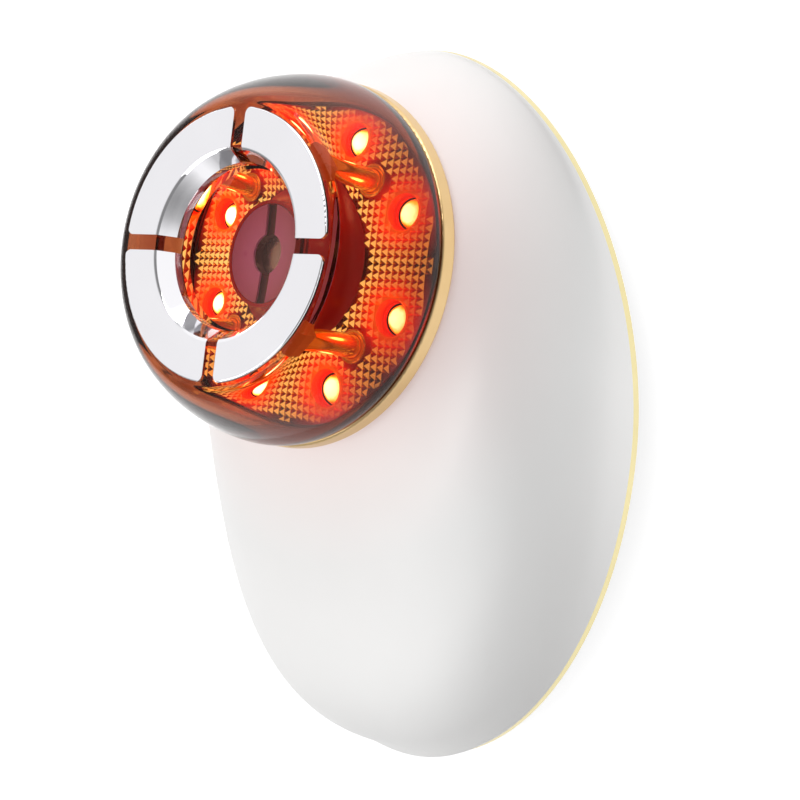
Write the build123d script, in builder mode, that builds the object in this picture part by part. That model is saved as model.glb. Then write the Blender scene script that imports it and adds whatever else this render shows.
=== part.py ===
from build123d import *
from math import asin, atan, cos, pi, radians, sin
import os

os.makedirs("parts", exist_ok=True)

# Facial toning device, lying on its back. Millimetres.
# X is the width, +Y runs towards the head end, +Z is the way the head faces.
# The origin is on the surface the device lies on, below the middle of its outline.

# ---------------------------------------------------------------- driving dimensions

# outline of the body at the gold band, measured from the point where the head axis crosses it
half_width = 44.4
top_reach = 39.87
bottom_reach = 76.95
widest_below_head = 17.2
rim_roundness = 1.9
outline_points = 28

# body from band to neck, one row per section: share of the way, share of the head's tilt,
# share of the tail's reach, share of the wall by which the inner surface is lowered
grip_rows = [
    (0.0, 0.0, 1.0, 0.0),
    (0.117, 0.114, 1.002, 0.0),
    (0.283, 0.267, 0.964, 0.3),
    (0.430, 0.439, 0.872, 0.7),
    (0.560, 0.601, 0.672, 1.0),
    (0.659, 0.716, 0.477, 1.0),
    (0.733, 0.792, 0.310, 1.0),
    (0.799, 0.859, 0.115, 0.8),
    (0.884, 0.935, 0.016, 0.4),
    (1.0, 1.0, 0.0, 0.0),
]
flank_power = 0.65
crown_power = 1.35
belly = 0.6
neck_thickening = 0.25

# body
cover_depth = 7.0
cover_round = 18.0
cover_sections = 7
cover_wall = 2.6
shell_wall = 2.2
band_height = 1.3
band_width = 1.2
seal_height = 0.8
seal_width = 1.3
seal_inset = 2.6
fit_gap = 0.1
cut_margin = 1.0
lip_root = 0.3

# head, along its own leaning axis
head_tilt = 10.5
neck_height = 28.45
neck_step = 0.8
head_depth = 21.8
bezel_radius = 30.0
bezel_height = 2.8
bezel_width = 1.9
bezel_round = 0.45

# dome, as steps in from the gold ring
dome_overhang = 0.2
dome_foot_step = 0.7
dome_tuck = 3.1
dome_roundness = 1.6
dome_wall = 2.4
dome_points = 9
face_step = 7.2
face_thickness = 2.6
face_set_back = 0.25
spigot_wall = 0.8

# well in the dome
roll_width = 0.7
lip_top_step = 0.2
lip_top_depth = 0.3
lip_foot_step = 1.9
lip_end_step = 2.1
lip_slope_depth = 2.8
lip_depth = 4.1
window_edge_depth = 4.3
window_dish = 2.4
window_thickness = 1.0
well_wall = 1.6

# electrodes
electrode_margin = 0.5
electrode_width = 6.8
electrode_thickness = 0.8
electrode_gap = 2.5
electrode_corner = 1.2
electrode_edge = 0.3
electrode_count = 4
electrode_turn = 45.0

# posts
post_inset = 3.3
post_radius = 1.9
post_pin_radius = 1.0
post_head_width = 4.6
post_head_depth = 3.7
post_head_height = 4.0
post_collar = 1.0

# reflector and lamps
reflector_step = 3.0
reflector_thickness = 2.0
lamp_count = 8
lamp_inset = 5.0
lamp_radius = 2.5
lamp_set_back = 0.9
lamp_tip_round = 2.2
cup_radius = 2.9
cup_depth = 1.4

# hub
hub_height = 8.0
hub_inset = 5.4
hub_flare = 4.3
hub_wall = 1.6
cap_rim = 0.7
cap_thickness = 3.0
cap_slot_width = 2.4
cap_slot_depth = 1.0
lens_radius = 3.4
lens_recess = 2.0
lens_crown = 0.9

# head carrier and its board
carrier_depth = 6.0
carrier_wall = 1.8
carrier_floor = 1.6
ledge_width = 5.2
ledge_height = 1.8
lamp_board_thickness = 1.6
lamp_board_drop = 2.0
board_hole = 3.0
carrier_screw_inset = 2.8
carrier_screw_head = 2.0

# screws
screw_count = 4
screw_radius = 1.2
screw_head_radius = 2.6
screw_head_height = 1.6
screw_length = 8.0
boss_radius = 4.0
boss_inset = 8.2
cover_screw_angles = [48.0, 132.0, 232.0, 308.0]
plug_end = 4.2
plug_gap = 0.3
screw_drive_depth = 1.3

# inside the body
board_level = 12.0
board_thickness = 1.6
board_inset = 14.4
frame_level = 15.6
frame_inset = 15.0
frame_end_y = 16.0
frame_thickness = 1.4
frame_wall = 1.4
frame_leg_radius = 2.4
frame_pin_radius = 1.3
leg_spacing_x = 36.0
leg_spacing_y = 44.0
leg_centre_y = -10.0
battery_width = 34.0
battery_length = 42.0
battery_height = 7.5
battery_corner = 1.5
battery_edge = 1.0
battery_centre_y = -10.0
motor_radius = 5.0
motor_height = 2.8
motor_edge = 0.45
motor_y = -38.0
transformer_size = 11.0
transformer_height = 9.0
transformer_flange = 1.8
transformer_core = 4.6
transformer_corner = 1.4
transformer_y = 24.0
chip_size = 7.0
chip_height = 1.0
chip_edge = 0.2
chip_y = 36.0
capacitor_radius = 2.5
capacitor_height = 7.0
capacitor_spacing = 24.0
capacitor_edge = 0.4

# charging socket
socket_inset = 22.4
socket_width = 8.9
socket_height = 3.3
socket_wall = 0.35
socket_set_back = 1.8
tongue_width = 6.6
tongue_thickness = 0.8
tongue_set_back = 1.0

# buttons on the rear
power_button_y = 20.0
power_button_radius = 6.0
mode_button_y = 2.0
mode_button_length = 12.0
mode_button_width = 7.0
button_set_back = 0.5
button_travel = 0.6
button_stop_gap = 0.1
button_gap = 0.25
button_flange = 1.2
button_flange_thickness = 1.0
button_stem_radius = 2.0
dish_width = 24.0
dish_length = 46.0
dish_depth = 0.7
dish_slope = 45.0
dish_centre_y = 8.0
switch_size = 6.0
switch_height = 3.4
switch_corner = 0.6
switch_tip_radius = 1.6
switch_tip_height = 0.8
light_count = 3
light_radius = 1.0
light_spacing = 5.0
light_y = -9.0

# ---------------------------------------------------------------- shared geometry

crossing_y = (bottom_reach - top_reach) / 2
tilt = radians(head_tilt)
rim_level = cover_depth
band_front = rim_level + band_height
shell_start = band_height / cos(tilt)

cover_slope = 2 * atan(cover_depth / cover_round)
socket_y = crossing_y - bottom_reach + socket_inset

face_distance = neck_height + head_depth
bezel_front = neck_height + bezel_height
plate_top = bezel_front
plate_bottom = plate_top - reflector_thickness
lamp_board_top = plate_bottom - lamp_board_drop
hub_top = plate_top + hub_height

neck_radius = bezel_radius - neck_step
neck_bore = neck_radius - shell_wall
carrier_radius = neck_bore - 2 * fit_gap
carrier_bottom = neck_height - carrier_depth
carrier_screw_circle = carrier_radius - carrier_screw_inset
dome_radius = bezel_radius + dome_overhang
dome_foot_radius = bezel_radius - dome_foot_step
face_radius = bezel_radius - face_step
electrode_outer = face_radius - electrode_margin
electrode_inner = electrode_outer - electrode_width
post_circle = electrode_outer - post_inset
reflector_radius = bezel_radius - reflector_step
lamp_circle = reflector_radius - lamp_inset
hub_base_radius = post_circle - hub_inset
hub_radius = hub_base_radius - hub_flare
cap_radius = hub_radius - cap_rim


def axis_plane(distance):
    """Plane square to the head axis, with its origin on that axis."""
    return Plane(
        origin=(0, crossing_y + distance * sin(tilt), rim_level + distance * cos(tilt)),
        x_dir=(1, 0, 0),
        z_dir=(0, sin(tilt), cos(tilt)),
    )


head_axis = Axis((0, crossing_y, rim_level), (0, sin(tilt), cos(tilt)))
head_profile = Plane(
    origin=(0, crossing_y, rim_level), x_dir=(1, 0, 0), z_dir=(0, -cos(tilt), sin(tilt))
)


def power(value, exponent):
    """Signed power, which bends a circle into a rounder or squarer oval."""
    return abs(value) ** exponent * (1 if value >= 0 else -1)


def egg_point(angle, width, top, bottom, widest, roundness):
    """Point at an angle on an egg-shaped outline."""
    across = width * power(cos(angle), 2 / roundness)
    reach = top - widest if sin(angle) > 0 else bottom + widest
    return (across, widest + reach * power(sin(angle), 2 / roundness))


def egg(width, top, bottom, widest, roundness):
    """Points of a whole egg-shaped outline, for a closed spline."""
    steps = [2 * pi * step / outline_points for step in range(outline_points)]
    return [egg_point(angle, width, top, bottom, widest, roundness) for angle in steps]


def rim_sizes(inset):
    """Sizes of the body's outline at the gold band, drawn in by an inset."""
    return (
        half_width - inset,
        top_reach - inset,
        bottom_reach - inset,
        -widest_below_head,
        rim_roundness,
    )


def flat_plane(level):
    """Level plane whose origin is under the point where the head axis crosses the band."""
    return Plane.XY.offset(level).shift_origin((0, crossing_y, level))


def rim_ring(low, high, outer_inset, inner_inset):
    """Ring that follows the body's outline between two levels."""
    with BuildPart() as ring:
        with BuildSketch(flat_plane(low)):
            with BuildLine():
                Spline(*egg(*rim_sizes(outer_inset)), periodic=True)
            make_face()
            with BuildLine():
                Spline(*egg(*rim_sizes(inner_inset)), periodic=True)
            make_face(mode=Mode.SUBTRACT)
        extrude(amount=high - low)
    return ring.part


def grip_section(row, inset):
    """Plane and outline of one section of the grip, from band to neck."""
    share, lean, tail, lowered = row
    inset = inset * (1 + neck_thickening * share)
    distance = shell_start + (neck_height - shell_start) * share - lowered * inset
    if share == 0:
        plane = flat_plane(band_front)
    else:
        angle = tilt * lean
        plane = Plane(
            origin=axis_plane(distance).origin,
            x_dir=(1, 0, 0),
            z_dir=(0, sin(angle), cos(angle)),
        )
    sizes = (
        half_width - (half_width - neck_radius) * share**flank_power - inset,
        neck_radius + (top_reach - neck_radius) * (1 - share**crown_power) ** 2 - inset,
        neck_radius + (bottom_reach - neck_radius) * tail - inset,
        -widest_below_head * (1 - share) ** crown_power,
        rim_roundness + (2 - rim_roundness) * share + belly * sin(pi * share),
    )
    return plane, sizes


def grip_form(inset):
    """Smooth solid from the band to the neck, drawn in by an inset."""
    with BuildPart() as form:
        for row in grip_rows:
            plane, sizes = grip_section(row, inset)
            with BuildSketch(plane):
                with BuildLine():
                    Spline(*egg(*sizes), periodic=True)
                make_face()
        loft()
    return form.part


def cover_form(wall):
    """Shallow dish under the band: sides bent to one radius, and a flat land."""
    edge_inset = wall / sin(cover_slope)
    with BuildPart() as form:
        for step in range(cover_sections):
            slope = cover_slope * (1 - step / (cover_sections - 1))
            level = wall + (cover_depth - wall) * (1 - cos(slope)) / (1 - cos(cover_slope))
            run = 1 - sin(slope) / sin(cover_slope)
            drawn_in = edge_inset + (cover_round - edge_inset) * run
            with BuildSketch(flat_plane(level)):
                with BuildLine():
                    Spline(*egg(*rim_sizes(drawn_in)), periodic=True)
                make_face()
        loft()
    return form.part


outer_grip = grip_form(0)
inner_grip = grip_form(shell_wall)
outer_cover = cover_form(0)
inner_cover = cover_form(cover_wall)

screw_spots = [
    egg_point(radians(angle), *rim_sizes(boss_inset)) for angle in cover_screw_angles
]
screw_spots = [(spot[0], spot[1] + crossing_y) for spot in screw_spots]

# ---------------------------------------------------------------- front shell

boss_end = band_front + fit_gap
lip_end = rim_level - seal_height + fit_gap * 2
seal_end_inset = seal_inset + seal_width

with BuildPart() as shell_bosses:
    with BuildSketch(Plane.XY.offset(boss_end)):
        with Locations(*screw_spots):
            Circle(boss_radius)
    extrude(amount=neck_height)
    add(outer_grip, mode=Mode.INTERSECT)

with BuildPart() as neck_ledge:
    with BuildSketch(axis_plane(carrier_bottom - ledge_height)):
        Circle(neck_bore + shell_wall / 2)
        Circle(neck_bore - ledge_width, mode=Mode.SUBTRACT)
    extrude(amount=ledge_height)
    add(outer_grip, mode=Mode.INTERSECT)

with BuildPart() as front_shell:
    add(outer_grip)
    add(rim_ring(rim_level + fit_gap, band_front + lip_root, band_width + fit_gap, seal_end_inset))
    add(rim_ring(lip_end, rim_level + fit_gap, seal_inset, seal_end_inset))
    add(inner_grip, mode=Mode.SUBTRACT)
    add(neck_ledge.part)
    add(shell_bosses.part)
    with BuildSketch(axis_plane(neck_height + cut_margin)):
        Circle(neck_bore)
    extrude(amount=-carrier_depth - cut_margin, mode=Mode.SUBTRACT)
    with BuildSketch(axis_plane(carrier_bottom)):
        with PolarLocations(carrier_screw_circle, screw_count):
            Circle(screw_radius + fit_gap / 2)
    extrude(amount=-ledge_height - cut_margin, mode=Mode.SUBTRACT)
    with BuildSketch(Plane.XY.offset(boss_end)):
        with Locations(*screw_spots):
            Circle(screw_radius + fit_gap / 2)
    extrude(amount=screw_length + cut_margin, mode=Mode.SUBTRACT)
front_shell.part.label = "front_shell"
export_step(front_shell.part, "parts/front_shell.step")

# ---------------------------------------------------------------- gold band and seal

with BuildPart() as rim_band:
    add(rim_ring(rim_level, band_front, 0, band_width))
rim_band.part.label = "rim_band"
export_step(rim_band.part, "parts/rim_band.step")

shelf_level = lip_end - seal_height

with BuildPart() as housing_seal:
    add(rim_ring(shelf_level, lip_end, seal_inset, seal_end_inset))
housing_seal.part.label = "housing_seal"
export_step(housing_seal.part, "parts/housing_seal.step")

# ---------------------------------------------------------------- rear cover

head_shelf = plug_end + plug_gap + screw_head_height
leg_spots = [
    (leg_spacing_x / 2 * side, leg_centre_y + leg_spacing_y / 2 * end)
    for side in (-1, 1)
    for end in (-1, 1)
]
leg_pin_end = board_level - 3 * frame_pin_radius

with BuildPart() as cover_bosses:
    with BuildSketch(Plane.XY):
        with Locations(*screw_spots):
            Circle(boss_radius)
    extrude(amount=rim_level)
    add(outer_cover, mode=Mode.INTERSECT)
    with BuildSketch(Plane.XY.offset(head_shelf)):
        with Locations(*screw_spots):
            Circle(boss_radius)
    extrude(amount=boss_end - head_shelf)

with BuildPart() as back_cover:
    add(outer_cover)
    add(inner_cover, mode=Mode.SUBTRACT)
    add(
        rim_ring(shelf_level, rim_level, seal_inset - fit_gap, seal_end_inset + fit_gap),
        mode=Mode.SUBTRACT,
    )
    add(cover_bosses.part)
    with BuildSketch(Plane.XY.offset(cover_wall / 2)):
        with Locations(*leg_spots):
            Circle(frame_leg_radius)
    extrude(amount=board_level - cover_wall / 2)
    with BuildSketch(Plane.XY.offset(board_level)):
        with Locations(*leg_spots):
            Circle(frame_pin_radius + fit_gap)
    extrude(amount=leg_pin_end - board_level - fit_gap, mode=Mode.SUBTRACT)
    with BuildSketch(Plane.XY):
        with Locations(*screw_spots):
            Circle(screw_head_radius + 2 * fit_gap)
    extrude(amount=head_shelf, mode=Mode.SUBTRACT)
    with BuildSketch(Plane.XY):
        with Locations(*screw_spots):
            Circle(screw_radius + 2 * fit_gap)
    extrude(amount=boss_end, mode=Mode.SUBTRACT)
    with BuildSketch(Plane.XY):
        with Locations((0, dish_centre_y)):
            SlotOverall(dish_length, dish_width, rotation=90)
    extrude(amount=dish_depth, taper=dish_slope, mode=Mode.SUBTRACT)
    with BuildSketch(Plane.XY):
        with Locations((0, power_button_y)):
            Circle(power_button_radius + button_gap)
        with Locations((0, mode_button_y)):
            SlotOverall(mode_button_length + 2 * button_gap, mode_button_width + 2 * button_gap)
        with Locations((0, light_y)):
            with GridLocations(light_spacing, 0, light_count, 1):
                Circle(light_radius)
        with Locations((0, socket_y)):
            SlotOverall(socket_width + 4 * fit_gap, socket_height + 4 * fit_gap)
    extrude(amount=cover_wall, mode=Mode.SUBTRACT)
back_cover.part.label = "back_cover"
export_step(back_cover.part, "parts/back_cover.step")

# ---------------------------------------------------------------- cover screws and plugs

with BuildPart() as cover_screws:
    with BuildSketch(Plane.XY.offset(head_shelf - screw_head_height)):
        with Locations(*screw_spots):
            Circle(screw_head_radius)
            RegularPolygon(screw_head_radius / 2, 6, mode=Mode.SUBTRACT)
    extrude(amount=screw_drive_depth)
    with BuildSketch(Plane.XY.offset(head_shelf - screw_head_height + screw_drive_depth)):
        with Locations(*screw_spots):
            Circle(screw_head_radius)
    extrude(amount=screw_head_height - screw_drive_depth)
    with BuildSketch(Plane.XY.offset(head_shelf)):
        with Locations(*screw_spots):
            Circle(screw_radius)
    extrude(amount=boss_end - head_shelf + screw_length)
cover_screws.part.label = "cover_screws"
export_step(cover_screws.part, "parts/cover_screws.step")

with BuildPart() as screw_plugs:
    with BuildSketch(Plane.XY):
        with Locations(*screw_spots):
            Circle(screw_head_radius + fit_gap)
    extrude(amount=plug_end)
    add(outer_cover, mode=Mode.INTERSECT)
screw_plugs.part.label = "screw_plugs"
export_step(screw_plugs.part, "parts/screw_plugs.step")

# ---------------------------------------------------------------- gold ring of the head

with BuildPart() as head_bezel:
    with BuildSketch(axis_plane(neck_height)):
        Circle(bezel_radius)
        Circle(bezel_radius - bezel_width, mode=Mode.SUBTRACT)
    extrude(amount=bezel_height)
    rims = head_bezel.edges().filter_by(GeomType.CIRCLE)
    outer_rims = rims.filter_by(lambda edge: edge.radius > bezel_radius - fit_gap)
    fillet(outer_rims, radius=bezel_round)
head_bezel.part.label = "head_bezel"
export_step(head_bezel.part, "parts/head_bezel.step")

# ---------------------------------------------------------------- dome

dome_widest = bezel_front + dome_tuck
face_level = face_distance - face_set_back
spigot_outer = bezel_radius - bezel_width - fit_gap
spigot_inner = spigot_outer - spigot_wall
spigot_end = neck_height + seal_height
under_face = face_distance - face_thickness
lip_top = electrode_inner - lip_top_step
lip_foot = electrode_inner - lip_foot_step
lip_bottom = electrode_inner - lip_end_step
lip_run = (lip_top - lip_foot) / (lip_slope_depth - lip_top_depth)
roll_start = electrode_inner + roll_width
window_edge = face_distance - window_edge_depth
window_middle = window_edge - window_dish
window_ball = (lip_bottom**2 + window_dish**2) / (2 * window_dish)
window_turn = asin(lip_bottom / window_ball) / 2
window_foot = window_middle - window_thickness
tube_outer = electrode_inner + well_wall / 2
quarter_turns = [electrode_turn + 360 / electrode_count * quarter for quarter in range(electrode_count)]


def shoulder(widest, top):
    """Points of the dome's side from its widest place up to the flat face."""
    turns = [pi / 2 * step / (dome_points - 1) for step in range(dome_points)]
    sizes = (widest - face_radius, top - dome_widest, 0, 0, dome_roundness)
    places = [egg_point(turn, *sizes) for turn in turns]
    return [(face_radius + place[0], dome_widest + place[1]) for place in places]


def electrode_back(gap):
    """Corners of the electrodes' hidden side, from the lip's end outwards, moved back by a gap."""
    back = electrode_thickness + gap
    return [
        (lip_bottom + back, face_distance - lip_depth - gap),
        (lip_foot + back, face_distance - lip_slope_depth),
        (lip_foot + back + lip_run * (lip_slope_depth - back), face_distance - back),
        (electrode_outer + gap, face_distance - back),
    ]


def electrode_area(turn, gap):
    """Plan of one electrode at a turn about the head axis, widened by a gap."""
    with BuildSketch(mode=Mode.PRIVATE) as area:
        Circle(electrode_outer + gap)
        with Locations((electrode_gap / 2 - gap, electrode_gap / 2 - gap)):
            Rectangle(
                bezel_radius, bezel_radius, align=(Align.MIN, Align.MIN), mode=Mode.INTERSECT
            )
        corners = area.vertices().sort_by_distance((0, 0))[-2:]
        fillet(corners, radius=electrode_corner)
    return area.sketch.rotate(Axis.Z, turn - electrode_turn)


with BuildPart() as electrode_bed:
    with BuildSketch(head_profile):
        with BuildLine():
            Polyline(
                (lip_bottom, face_distance + cut_margin),
                (lip_bottom, face_distance - lip_depth - fit_gap),
                *electrode_back(fit_gap),
                (electrode_outer + fit_gap, face_distance + cut_margin),
                close=True,
            )
        make_face()
    revolve(axis=head_axis)
    with BuildSketch(axis_plane(face_distance + cut_margin)):
        for turn in quarter_turns:
            add(electrode_area(turn, fit_gap))
    extrude(amount=-lip_depth - 2 * cut_margin, mode=Mode.INTERSECT)

outer_shoulder = shoulder(dome_radius, face_level)
inner_shoulder = shoulder(dome_radius - dome_wall, under_face)

with BuildPart() as dome_lens:
    with BuildSketch(head_profile):
        with BuildLine():
            ThreePointArc(
                (0, window_middle),
                (
                    window_ball * sin(window_turn),
                    window_middle + window_ball * (1 - cos(window_turn)),
                ),
                (lip_bottom, window_edge),
            )
            Polyline(
                (lip_bottom, window_edge),
                (lip_bottom, face_distance - lip_depth),
                (lip_foot, face_distance - lip_slope_depth),
                (electrode_inner, face_level),
                (face_radius, face_level),
            )
            Spline(*reversed(outer_shoulder), tangents=[(1, 0), (0, -1)])
            Spline(
                (dome_radius, dome_widest),
                (dome_foot_radius, bezel_front),
                tangents=[(0, -1), (-0.5, -1)],
            )
            Polyline(
                (dome_foot_radius, bezel_front),
                (spigot_outer, bezel_front),
                (spigot_outer, spigot_end),
                (spigot_inner, spigot_end),
                (spigot_inner, bezel_front),
            )
            Spline(
                (spigot_inner, bezel_front),
                (dome_radius - dome_wall, dome_widest),
                tangents=[(0.5, 1), (0, 1)],
            )
            Spline(*inner_shoulder, tangents=[(0, 1), (-1, 0)])
            Polyline(
                (face_radius, under_face),
                (tube_outer, under_face),
                (tube_outer, window_foot),
                (0, window_foot),
                (0, window_middle),
            )
        make_face()
    revolve(axis=head_axis)
    add(electrode_bed.part, mode=Mode.SUBTRACT)
    with BuildSketch(axis_plane(face_distance)):
        with PolarLocations(post_circle, electrode_count, start_angle=electrode_turn):
            Circle(post_pin_radius + fit_gap)
    extrude(amount=-face_thickness - cut_margin, mode=Mode.SUBTRACT)
dome_lens.part.label = "dome_lens"
export_step(dome_lens.part, "parts/dome_lens.step")

# ---------------------------------------------------------------- electrodes and posts

with BuildPart() as electrode_ring:
    with BuildSketch(head_profile):
        with BuildLine():
            TangentArc(
                (electrode_outer, face_distance - electrode_edge),
                (electrode_outer - electrode_edge, face_distance),
                tangent=(0, 1),
            )
            Line((electrode_outer - electrode_edge, face_distance), (roll_start, face_distance))
            TangentArc(
                (roll_start, face_distance),
                (lip_top, face_distance - lip_top_depth),
                tangent=(-1, 0),
            )
            Polyline(
                (lip_top, face_distance - lip_top_depth),
                (lip_foot, face_distance - lip_slope_depth),
                (lip_bottom, face_distance - lip_depth),
                *electrode_back(0),
                (electrode_outer, face_distance - electrode_edge),
            )
        make_face()
    revolve(axis=head_axis)

for number, turn in enumerate(quarter_turns, start=1):
    with BuildPart() as electrode:
        add(electrode_ring.part)
        with BuildSketch(axis_plane(face_distance)):
            add(electrode_area(turn, 0))
        extrude(amount=-lip_depth, mode=Mode.INTERSECT)
    electrode.part.label = f"electrode_{number}"
    export_step(electrode.part, f"parts/electrode_{number}.step")

post_top = under_face

for number, turn in enumerate(quarter_turns, start=1):
    with BuildPart() as post:
        with BuildSketch(axis_plane(lamp_board_top)):
            with PolarLocations(post_circle, 1, start_angle=turn):
                Circle(post_radius)
        extrude(amount=post_top - lamp_board_top)
        with BuildSketch(axis_plane(post_top)):
            with PolarLocations(post_circle, 1, start_angle=turn):
                Rectangle(post_head_depth, post_head_width)
        extrude(amount=-post_head_height)
        with BuildSketch(axis_plane(post_top)):
            with PolarLocations(post_circle, 1, start_angle=turn):
                Circle(post_pin_radius)
        extrude(amount=face_distance - electrode_thickness - post_top)
    post.part.label = f"electrode_post_{number}"
    export_step(post.part, f"parts/electrode_post_{number}.step")

# ---------------------------------------------------------------- reflector plate

lamp_start = 180 / lamp_count

with BuildPart() as reflector_plate:
    with BuildSketch(axis_plane(plate_top)):
        Circle(reflector_radius)
    extrude(amount=-reflector_thickness)
    with BuildSketch(axis_plane(plate_top)):
        with PolarLocations(post_circle, electrode_count, start_angle=electrode_turn):
            Circle(post_radius + post_collar)
    extrude(amount=post_collar / 2)
    with BuildSketch(axis_plane(plate_top + post_collar)):
        with PolarLocations(post_circle, electrode_count, start_angle=electrode_turn):
            Circle(post_radius + fit_gap)
        Circle(hub_base_radius - hub_wall)
    extrude(amount=-reflector_thickness - post_collar - cut_margin, mode=Mode.SUBTRACT)
    with Locations(axis_plane(plate_top)):
        with PolarLocations(lamp_circle, lamp_count, start_angle=lamp_start):
            CounterBoreHole(lamp_radius + fit_gap, cup_radius, cup_depth)
reflector_plate.part.label = "reflector_plate"
export_step(reflector_plate.part, "parts/reflector_plate.step")

# ---------------------------------------------------------------- lamps and lamp board

with BuildPart() as led_lamps:
    with BuildSketch(axis_plane(lamp_board_top)):
        with PolarLocations(lamp_circle, lamp_count, start_angle=lamp_start):
            Circle(lamp_radius)
    extrude(amount=plate_top - lamp_set_back - lamp_board_top)
    tips = led_lamps.edges().filter_by(GeomType.CIRCLE).sort_by(head_axis)[-lamp_count:]
    fillet(tips, radius=lamp_tip_round)
led_lamps.part.label = "led_lamps"
export_step(led_lamps.part, "parts/led_lamps.step")

lamp_board_radius = carrier_radius - carrier_wall - fit_gap

with BuildPart() as lamp_board:
    with BuildSketch(axis_plane(lamp_board_top)):
        Circle(lamp_board_radius)
        Circle(board_hole, mode=Mode.SUBTRACT)
    extrude(amount=-lamp_board_thickness)
lamp_board.part.label = "lamp_board"
export_step(lamp_board.part, "parts/lamp_board.step")

# ---------------------------------------------------------------- hub, its cap and the sensor lens

hub_seat = hub_top - cap_thickness

with BuildPart() as centre_hub:
    with BuildSketch(head_profile):
        with BuildLine():
            Polyline(
                (hub_base_radius - hub_wall - fit_gap, lamp_board_top),
                (hub_base_radius - hub_wall - fit_gap, plate_top),
                (hub_base_radius, plate_top),
            )
            Spline(
                (hub_base_radius, plate_top),
                (hub_radius, hub_top),
                tangents=[(-1, 0.35), (0, 1)],
            )
            Polyline(
                (hub_radius, hub_top),
                (cap_radius + fit_gap, hub_top),
                (cap_radius + fit_gap, hub_seat),
                (cap_radius - hub_wall / 2, hub_seat),
                (cap_radius - hub_wall / 2, hub_seat - hub_wall),
                (hub_base_radius - 2 * hub_wall, plate_top),
                (hub_base_radius - 2 * hub_wall, lamp_board_top),
                (hub_base_radius - hub_wall - fit_gap, lamp_board_top),
            )
        make_face()
    revolve(axis=head_axis)
centre_hub.part.label = "centre_hub"
export_step(centre_hub.part, "parts/centre_hub.step")

with BuildPart() as hub_cap:
    with BuildSketch(axis_plane(hub_top)):
        Circle(cap_radius)
    extrude(amount=-cap_thickness)
    with BuildSketch(axis_plane(hub_top)):
        Rectangle(cap_slot_width, 2 * cap_radius)
    extrude(amount=-cap_slot_depth, mode=Mode.SUBTRACT)
    with BuildSketch(axis_plane(hub_top)):
        Circle(lens_radius + fit_gap)
    extrude(amount=-lens_recess - lens_crown, mode=Mode.SUBTRACT)
hub_cap.part.label = "hub_cap"
export_step(hub_cap.part, "parts/hub_cap.step")

lens_foot = hub_top - lens_recess - lens_crown
lens_edge = lens_foot + lens_crown / 2
lens_ball = (lens_radius**2 + (lens_crown / 2) ** 2) / lens_crown
lens_turn = asin(lens_radius / lens_ball) / 2
lens_centre = lens_foot + lens_crown - lens_ball

with BuildPart() as sensor_lens:
    with BuildSketch(head_profile):
        with BuildLine():
            Polyline(
                (0, lens_foot + lens_crown),
                (0, lens_foot),
                (lens_radius, lens_foot),
                (lens_radius, lens_edge),
            )
            ThreePointArc(
                (lens_radius, lens_edge),
                (lens_ball * sin(lens_turn), lens_centre + lens_ball * cos(lens_turn)),
                (0, lens_foot + lens_crown),
            )
        make_face()
    revolve(axis=head_axis)
sensor_lens.part.label = "sensor_lens"
export_step(sensor_lens.part, "parts/sensor_lens.step")

# ---------------------------------------------------------------- head seal, carrier and its screws

with BuildPart() as head_seal:
    with BuildSketch(axis_plane(neck_height)):
        Circle(spigot_outer)
        Circle(spigot_inner, mode=Mode.SUBTRACT)
    extrude(amount=seal_height)
head_seal.part.label = "head_seal"
export_step(head_seal.part, "parts/head_seal.step")

carrier_ledge = lamp_board_top - lamp_board_thickness
carrier_core = carrier_radius - 3 * carrier_wall

with BuildPart() as head_carrier:
    with BuildSketch(head_profile):
        with BuildLine():
            Polyline(
                (board_hole * 2, carrier_bottom),
                (carrier_radius, carrier_bottom),
                (carrier_radius, plate_bottom),
                (carrier_radius - carrier_wall, plate_bottom),
                (carrier_radius - carrier_wall, carrier_ledge),
                (carrier_core, carrier_ledge),
                (carrier_core, carrier_bottom + carrier_floor),
                (board_hole * 2, carrier_bottom + carrier_floor),
                (board_hole * 2, carrier_bottom),
            )
        make_face()
    revolve(axis=head_axis)
    with Locations(axis_plane(carrier_ledge)):
        with PolarLocations(carrier_screw_circle, screw_count):
            CounterBoreHole(
                screw_radius + fit_gap,
                carrier_screw_head + fit_gap,
                screw_head_height + fit_gap,
            )
head_carrier.part.label = "head_carrier"
export_step(head_carrier.part, "parts/head_carrier.step")

carrier_head_foot = carrier_ledge - screw_head_height - fit_gap

with BuildPart() as carrier_screws:
    with BuildSketch(axis_plane(carrier_head_foot)):
        with PolarLocations(carrier_screw_circle, screw_count):
            Circle(carrier_screw_head)
    extrude(amount=screw_head_height)
    with BuildSketch(axis_plane(carrier_head_foot + screw_head_height)):
        with PolarLocations(carrier_screw_circle, screw_count):
            RegularPolygon(carrier_screw_head / 2, 6)
    extrude(amount=-screw_head_height / 2, mode=Mode.SUBTRACT)
    with BuildSketch(axis_plane(carrier_head_foot)):
        with PolarLocations(carrier_screw_circle, screw_count):
            Circle(screw_radius)
    extrude(amount=carrier_bottom - ledge_height - carrier_head_foot)
carrier_screws.part.label = "carrier_screws"
export_step(carrier_screws.part, "parts/carrier_screws.step")

# ---------------------------------------------------------------- main board and what sits on it

board_top = board_level + board_thickness

with BuildPart() as main_board:
    with BuildSketch(flat_plane(board_level)):
        with BuildLine():
            Spline(*egg(*rim_sizes(board_inset)), periodic=True)
        make_face()
    extrude(amount=board_thickness)
    with BuildSketch(Plane.XY.offset(board_level)):
        with Locations(*leg_spots):
            Circle(frame_pin_radius + fit_gap)
    extrude(amount=board_thickness, mode=Mode.SUBTRACT)
main_board.part.label = "main_board"
export_step(main_board.part, "parts/main_board.step")

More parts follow.
